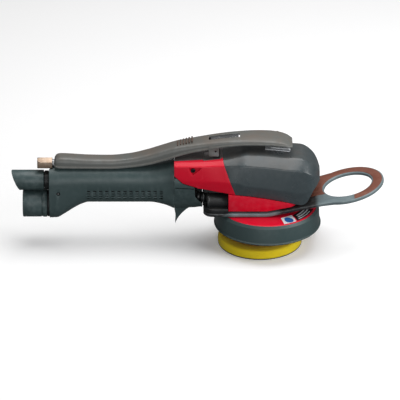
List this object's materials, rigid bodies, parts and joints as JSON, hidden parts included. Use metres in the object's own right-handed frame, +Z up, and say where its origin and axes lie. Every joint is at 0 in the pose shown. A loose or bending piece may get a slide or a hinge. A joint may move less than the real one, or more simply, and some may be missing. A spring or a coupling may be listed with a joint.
{
  "type": "orbital sander",
  "caption": "Air-driven orbital sander with a long rear handle under a full-length throttle lever, a round foam pad under a dust hood and a flat loop as the front grip.",
  "frame": {"origin": "centre of the pad's sanding face", "axes": "+X from the handle towards the front loop, +Z up out of the back of the pad, +Y to the left of someone who holds the handle and faces the loop"},
  "size_m": [0.5498, 0.159, 0.1758],
  "materials": {
    "slate": "satin moulded",
    "cover": "satin moulded",
    "lever": "satin moulded",
    "red": "gloss moulded",
    "black": "moulded",
    "loop": "satin powder coat",
    "grip": "soft moulded",
    "foam": "open-cell foam",
    "hook": "hook fabric",
    "brass": "machined",
    "steel": "machined",
    "alloy": "machined",
    "resin": "pressed laminate"
  },
  "bodies": {
    "housing": {"handle_shell_near": "slate", "handle_shell_far": "slate", "top_bridge": "slate", "finger_guard": "slate", "rear_cap": "slate", "dust_stub": "slate", "hood_skirt": "slate", "head_cover": "cover", "body_shell_near": "red", "body_shell_far": "red", "neck_housing": "red", "hood_disc": "red", "exhaust_collar": "black", "exhaust_pipe": "black", "dust_duct": "black", "dust_elbow": "black", "dust_pipe": "black", "loop_plate": "loop", "loop_grip": "grip", "inlet_fitting": "brass", "valve_plug": "brass", "motor_liner": "steel", "lower_bearing": "steel", "upper_bearing": "steel", "body_screw_near": "steel", "body_screw_far": "steel", "handle_screw": "steel", "lever_pin": "steel", "stop_clip": "steel", "valve_spring": "steel", "lower_end_plate": "alloy", "upper_end_plate": "alloy", "motor_clamp_ring": "alloy", "inlet_body": "alloy", "valve_block": "alloy", "air_pipe": "alloy"},
    "lever": {"throttle_lever": "lever", "latch_pin": "steel"},
    "latch": {"lock_latch": "steel"},
    "plunger": {"valve_plunger": "brass"},
    "deflector": {"exhaust_deflector": "slate"},
    "sleeve": {"dust_sleeve": "black"},
    "crank": {"crank_shaft": "steel", "rotor": "steel", "spindle_bearing": "steel"},
    "pad": {"pad_spindle": "steel", "pad_stud": "steel", "backing_plate": "black", "pad_foam": "foam", "hook_face": "hook"},
    "vane_1": {"vane_1": "resin"},
    "vane_2": {"vane_2": "resin"},
    "vane_3": {"vane_3": "resin"},
    "vane_4": {"vane_4": "resin"},
    "vane_5": {"vane_5": "resin"}
  },
  "joints": [
    {"name": "throttle", "type": "hinge", "parent": "housing", "child": "lever", "pos_m": [-0.272, 0, 0.1315], "axis": [0, 1, 0], "range_deg": [0, 1.6], "stiffness_Nm_per_rad": 10, "springref_deg": -2.86},
    {"name": "lock_latch_turn", "type": "hinge", "parent": "lever", "child": "latch", "pos_m": [-0.066, 0, 0.1569], "axis": [0, 1, 0], "range_deg": [0, 8], "stiffness_Nm_per_rad": 0.02, "springref_deg": -14.32},
    {"name": "valve_stroke", "type": "slide", "parent": "housing", "child": "plunger", "axis": [0, 0, -1], "range_m": [0, 0.0016], "deforming": ["valve_spring"]},
    {"name": "motor_spin", "type": "hinge", "parent": "housing", "child": "crank", "pos_m": [0.005, 0, 0.09], "axis": [0, 0, 1], "continuous": true},
    {"name": "pad_spin", "type": "hinge", "parent": "crank", "child": "pad", "pos_m": [0, 0, 0.034], "axis": [0, 0, 1], "continuous": true},
    {"name": "exhaust_swivel", "type": "hinge", "parent": "housing", "child": "deflector", "pos_m": [-0.34, 0, 0.1016], "axis": [1, 0, 0], "continuous": true},
    {"name": "dust_port_swivel", "type": "hinge", "parent": "housing", "child": "sleeve", "pos_m": [-0.33, 0, 0.0643], "axis": [1, 0, 0], "continuous": true},
    {"name": "vane_1_slide", "type": "slide", "parent": "crank", "child": "vane_1", "axis": [0.809, 0.5878, 0], "range_m": [0, 0.0006]},
    {"name": "vane_2_slide", "type": "slide", "parent": "crank", "child": "vane_2", "axis": [-0.309, 0.9511, 0], "range_m": [0, 0.0006]},
    {"name": "vane_3_slide", "type": "slide", "parent": "crank", "child": "vane_3", "axis": [-1, 0, 0], "range_m": [0, 0.0006]},
    {"name": "vane_4_slide", "type": "slide", "parent": "crank", "child": "vane_4", "axis": [-0.309, -0.9511, 0], "range_m": [0, 0.0006]},
    {"name": "vane_5_slide", "type": "slide", "parent": "crank", "child": "vane_5", "axis": [0.809, -0.5878, 0], "range_m": [0, 0.0006]}
  ],
  "couplings": [
    {"joint": "valve_stroke", "follows": "throttle", "m_per_rad": 0.055}
  ]
}
